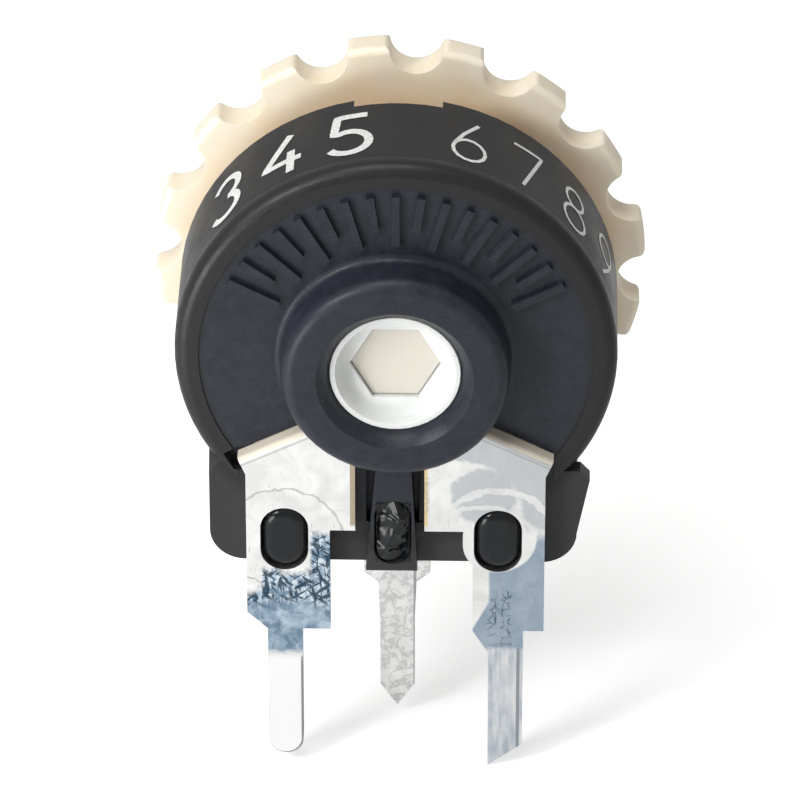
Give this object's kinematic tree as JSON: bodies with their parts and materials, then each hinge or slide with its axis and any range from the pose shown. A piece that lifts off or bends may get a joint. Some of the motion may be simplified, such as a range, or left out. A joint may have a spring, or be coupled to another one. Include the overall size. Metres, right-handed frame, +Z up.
{
  "type": "rotary potentiometer",
  "caption": "Upright trimmer potentiometer: a round black housing on board pins, a raised rear boss with a white rotor, and a toothed ivory thumbwheel that turns it.",
  "frame": {"origin": "midway between the outer pins, on the board's surface, in the middle plane of the outer terminals' sheet", "axes": "+X along the row of outer pins, +Y from the rear cover to the thumbwheel along the rotor's axis, +Z up from the board"},
  "size_m": [0.0112, 0.0059, 0.0166],
  "materials": {
    "housing_plastic": "satin",
    "cover_plastic": "satin",
    "laminate": "satin",
    "carbon_ink": "matte",
    "silver_ink": "satin",
    "tinned_sheet": "polished",
    "spring_brass": "polished",
    "rotor_plastic": "gloss",
    "wheel_plastic": "satin"
  },
  "bodies": {
    "root": {"housing": "housing_plastic", "rear_cover": "cover_plastic", "resistor_base": "laminate", "carbon_track": "carbon_ink", "silver_ends": "silver_ink", "left_terminal": "tinned_sheet", "right_terminal": "tinned_sheet", "centre_terminal": "tinned_sheet"},
    "turning_set": {"rotor": "rotor_plastic", "wiper": "spring_brass", "thumbwheel": "wheel_plastic"}
  },
  "joints": [
    {"name": "wheel_turn", "type": "hinge", "parent": "root", "child": "turning_set", "pos_m": [0, 0.003, 0.00715], "axis": [0, 1, 0], "range_deg": [-117.5, 117.5]}
  ]
}
